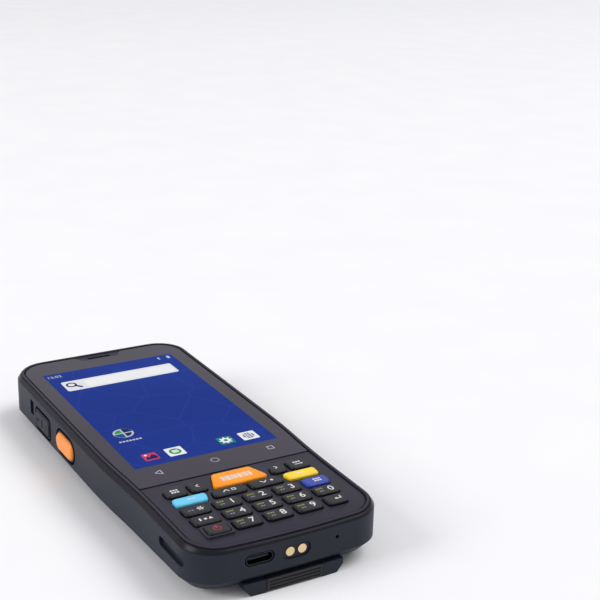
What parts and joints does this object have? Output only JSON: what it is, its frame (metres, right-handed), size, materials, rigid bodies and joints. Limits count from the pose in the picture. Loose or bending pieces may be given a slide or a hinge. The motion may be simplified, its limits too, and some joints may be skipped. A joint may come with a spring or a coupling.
{
  "type": "portable barcode data terminal",
  "caption": "Handheld barcode data terminal with a touch screen over a pressable keypad, side triggers, a volume rocker and a latched battery cover on its back.",
  "frame": {"origin": "under the middle of the body, on the surface that it lies on", "axes": "+X to the right of the screen, +Y towards the earpiece end, +Z out of the screen"},
  "size_m": [0.0708, 0.16, 0.0187],
  "materials": {
    "housing_plastic": "fine spark-eroded texture",
    "band_rubber": "smooth matt",
    "key_plastic": "satin",
    "orange_key_plastic": "satin",
    "cyan_key_plastic": "satin",
    "yellow_key_plastic": "satin",
    "blue_key_plastic": "satin",
    "cover_glass": "polished",
    "display_panel": "smooth",
    "silicone": "matt",
    "circuit_board": "solder mask",
    "battery_wrap": "film",
    "socket_steel": "tinned",
    "gold_contact": "gold plated",
    "scan_window_plastic": "polished",
    "engine_metal": "satin",
    "lens_glass": "polished",
    "flash_plastic": "frosted",
    "screw_steel": "blackened",
    "latch_plastic": "ribbed"
  },
  "bodies": {
    "housing": {"front_housing": "housing_plastic", "side_band": "band_rubber", "rear_housing": "housing_plastic", "cover_glass": "cover_glass", "display_module": "display_panel", "keypad_mat": "silicone", "keypad_board": "circuit_board", "main_board": "circuit_board", "battery": "battery_wrap", "battery_pad": "silicone", "side_switches": "circuit_board", "usb_socket": "socket_steel", "contact_holder": "housing_plastic", "charge_contacts": "gold_contact", "microphone": "socket_steel", "scan_window": "scan_window_plastic", "scan_engine": "engine_metal", "camera_lens": "lens_glass", "flash_lens": "flash_plastic", "camera_module": "engine_metal", "speaker": "engine_metal", "receiver": "engine_metal", "housing_screws": "screw_steel"},
    "scan_key": {"scan_key": "orange_key_plastic"},
    "tab_key": {"tab_key": "key_plastic"},
    "delete_key": {"delete_key": "key_plastic"},
    "left_key": {"left_key": "key_plastic"},
    "right_key": {"right_key": "key_plastic"},
    "cyan_key": {"cyan_key": "cyan_key_plastic"},
    "yellow_key": {"yellow_key": "yellow_key_plastic"},
    "up_key": {"up_key": "key_plastic"},
    "down_key": {"down_key": "key_plastic"},
    "digit_1_key": {"digit_1_key": "key_plastic"},
    "digit_2_key": {"digit_2_key": "key_plastic"},
    "digit_3_key": {"digit_3_key": "key_plastic"},
    "digit_4_key": {"digit_4_key": "key_plastic"},
    "digit_5_key": {"digit_5_key": "key_plastic"},
    "digit_6_key": {"digit_6_key": "key_plastic"},
    "digit_7_key": {"digit_7_key": "key_plastic"},
    "digit_8_key": {"digit_8_key": "key_plastic"},
    "digit_9_key": {"digit_9_key": "key_plastic"},
    "digit_0_key": {"digit_0_key": "key_plastic"},
    "star_key": {"star_key": "key_plastic"},
    "shift_key": {"shift_key": "key_plastic"},
    "power_key": {"power_key": "key_plastic"},
    "function_key": {"function_key": "blue_key_plastic"},
    "enter_key": {"enter_key": "key_plastic"},
    "left_trigger": {"left_trigger": "orange_key_plastic"},
    "right_trigger": {"right_trigger": "orange_key_plastic"},
    "volume_rocker": {"volume_rocker": "key_plastic"},
    "battery_cover": {"battery_cover": "housing_plastic"},
    "battery_latch": {"battery_latch": "latch_plastic"}
  },
  "joints": [
    {"name": "scan_press", "type": "slide", "parent": "housing", "child": "scan_key", "axis": [0, 0, -1], "range_m": [0, 0.0006], "stiffness_N_per_m": 400, "springref_m": -0.0004},
    {"name": "tab_press", "type": "slide", "parent": "housing", "child": "tab_key", "axis": [0, 0, -1], "range_m": [0, 0.0006], "stiffness_N_per_m": 400, "springref_m": -0.0004},
    {"name": "delete_press", "type": "slide", "parent": "housing", "child": "delete_key", "axis": [0, 0, -1], "range_m": [0, 0.0006], "stiffness_N_per_m": 400, "springref_m": -0.0004},
    {"name": "left_press", "type": "slide", "parent": "housing", "child": "left_key", "axis": [0, 0, -1], "range_m": [0, 0.0006], "stiffness_N_per_m": 400, "springref_m": -0.0004},
    {"name": "right_press", "type": "slide", "parent": "housing", "child": "right_key", "axis": [0, 0, -1], "range_m": [0, 0.0006], "stiffness_N_per_m": 400, "springref_m": -0.0004},
    {"name": "cyan_press", "type": "slide", "parent": "housing", "child": "cyan_key", "axis": [0, 0, -1], "range_m": [0, 0.0006], "stiffness_N_per_m": 400, "springref_m": -0.0004},
    {"name": "yellow_press", "type": "slide", "parent": "housing", "child": "yellow_key", "axis": [0, 0, -1], "range_m": [0, 0.0006], "stiffness_N_per_m": 400, "springref_m": -0.0004},
    {"name": "up_press", "type": "slide", "parent": "housing", "child": "up_key", "axis": [0, 0, -1], "range_m": [0, 0.0006], "stiffness_N_per_m": 400, "springref_m": -0.0004},
    {"name": "down_press", "type": "slide", "parent": "housing", "child": "down_key", "axis": [0, 0, -1], "range_m": [0, 0.0006], "stiffness_N_per_m": 400, "springref_m": -0.0004},
    {"name": "digit_1_press", "type": "slide", "parent": "housing", "child": "digit_1_key", "axis": [0, 0, -1], "range_m": [0, 0.0006], "stiffness_N_per_m": 400, "springref_m": -0.0004},
    {"name": "digit_2_press", "type": "slide", "parent": "housing", "child": "digit_2_key", "axis": [0, 0, -1], "range_m": [0, 0.0006], "stiffness_N_per_m": 400, "springref_m": -0.0004},
    {"name": "digit_3_press", "type": "slide", "parent": "housing", "child": "digit_3_key", "axis": [0, 0, -1], "range_m": [0, 0.0006], "stiffness_N_per_m": 400, "springref_m": -0.0004},
    {"name": "digit_4_press", "type": "slide", "parent": "housing", "child": "digit_4_key", "axis": [0, 0, -1], "range_m": [0, 0.0006], "stiffness_N_per_m": 400, "springref_m": -0.0004},
    {"name": "digit_5_press", "type": "slide", "parent": "housing", "child": "digit_5_key", "axis": [0, 0, -1], "range_m": [0, 0.0006], "stiffness_N_per_m": 400, "springref_m": -0.0004},
    {"name": "digit_6_press", "type": "slide", "parent": "housing", "child": "digit_6_key", "axis": [0, 0, -1], "range_m": [0, 0.0006], "stiffness_N_per_m": 400, "springref_m": -0.0004},
    {"name": "digit_7_press", "type": "slide", "parent": "housing", "child": "digit_7_key", "axis": [0, 0, -1], "range_m": [0, 0.0006], "stiffness_N_per_m": 400, "springref_m": -0.0004},
    {"name": "digit_8_press", "type": "slide", "parent": "housing", "child": "digit_8_key", "axis": [0, 0, -1], "range_m": [0, 0.0006], "stiffness_N_per_m": 400, "springref_m": -0.0004},
    {"name": "digit_9_press", "type": "slide", "parent": "housing", "child": "digit_9_key", "axis": [0, 0, -1], "range_m": [0, 0.0006], "stiffness_N_per_m": 400, "springref_m": -0.0004},
    {"name": "digit_0_press", "type": "slide", "parent": "housing", "child": "digit_0_key", "axis": [0, 0, -1], "range_m": [0, 0.0006], "stiffness_N_per_m": 400, "springref_m": -0.0004},
    {"name": "star_press", "type": "slide", "parent": "housing", "child": "star_key", "axis": [0, 0, -1], "range_m": [0, 0.0006], "stiffness_N_per_m": 400, "springref_m": -0.0004},
    {"name": "shift_press", "type": "slide", "parent": "housing", "child": "shift_key", "axis": [0, 0, -1], "range_m": [0, 0.0006], "stiffness_N_per_m": 400, "springref_m": -0.0004},
    {"name": "power_press", "type": "slide", "parent": "housing", "child": "power_key", "axis": [0, 0, -1], "range_m": [0, 0.0006], "stiffness_N_per_m": 400, "springref_m": -0.0004},
    {"name": "function_press", "type": "slide", "parent": "housing", "child": "function_key", "axis": [0, 0, -1], "range_m": [0, 0.0006], "stiffness_N_per_m": 400, "springref_m": -0.0004},
    {"name": "enter_press", "type": "slide", "parent": "housing", "child": "enter_key", "axis": [0, 0, -1], "range_m": [0, 0.0006], "stiffness_N_per_m": 400, "springref_m": -0.0004},
    {"name": "left_trigger_press", "type": "slide", "parent": "housing", "child": "left_trigger", "axis": [1, 0, 0], "range_m": [0, 0.0008], "stiffness_N_per_m": 700, "springref_m": -0.0003},
    {"name": "right_trigger_press", "type": "slide", "parent": "housing", "child": "right_trigger", "axis": [-1, 0, 0], "range_m": [0, 0.0008], "stiffness_N_per_m": 700, "springref_m": -0.0003},
    {"name": "volume_rock", "type": "hinge", "parent": "housing", "child": "volume_rocker", "pos_m": [-0.0345, 0.0422, 0.0097], "axis": [0, 0, 1], "range_deg": [-3, 3], "stiffness_Nm_per_rad": 0.4},
    {"name": "battery_cover_hinge", "type": "hinge", "parent": "housing", "child": "battery_cover", "pos_m": [0, 0.0169, 0.002], "axis": [1, 0, 0], "range_deg": [0, 30]},
    {"name": "battery_latch_slide", "type": "slide", "parent": "battery_cover", "child": "battery_latch", "axis": [0, 1, 0], "range_m": [0, 0.0015], "stiffness_N_per_m": 300, "springref_m": -0.0004}
  ]
}
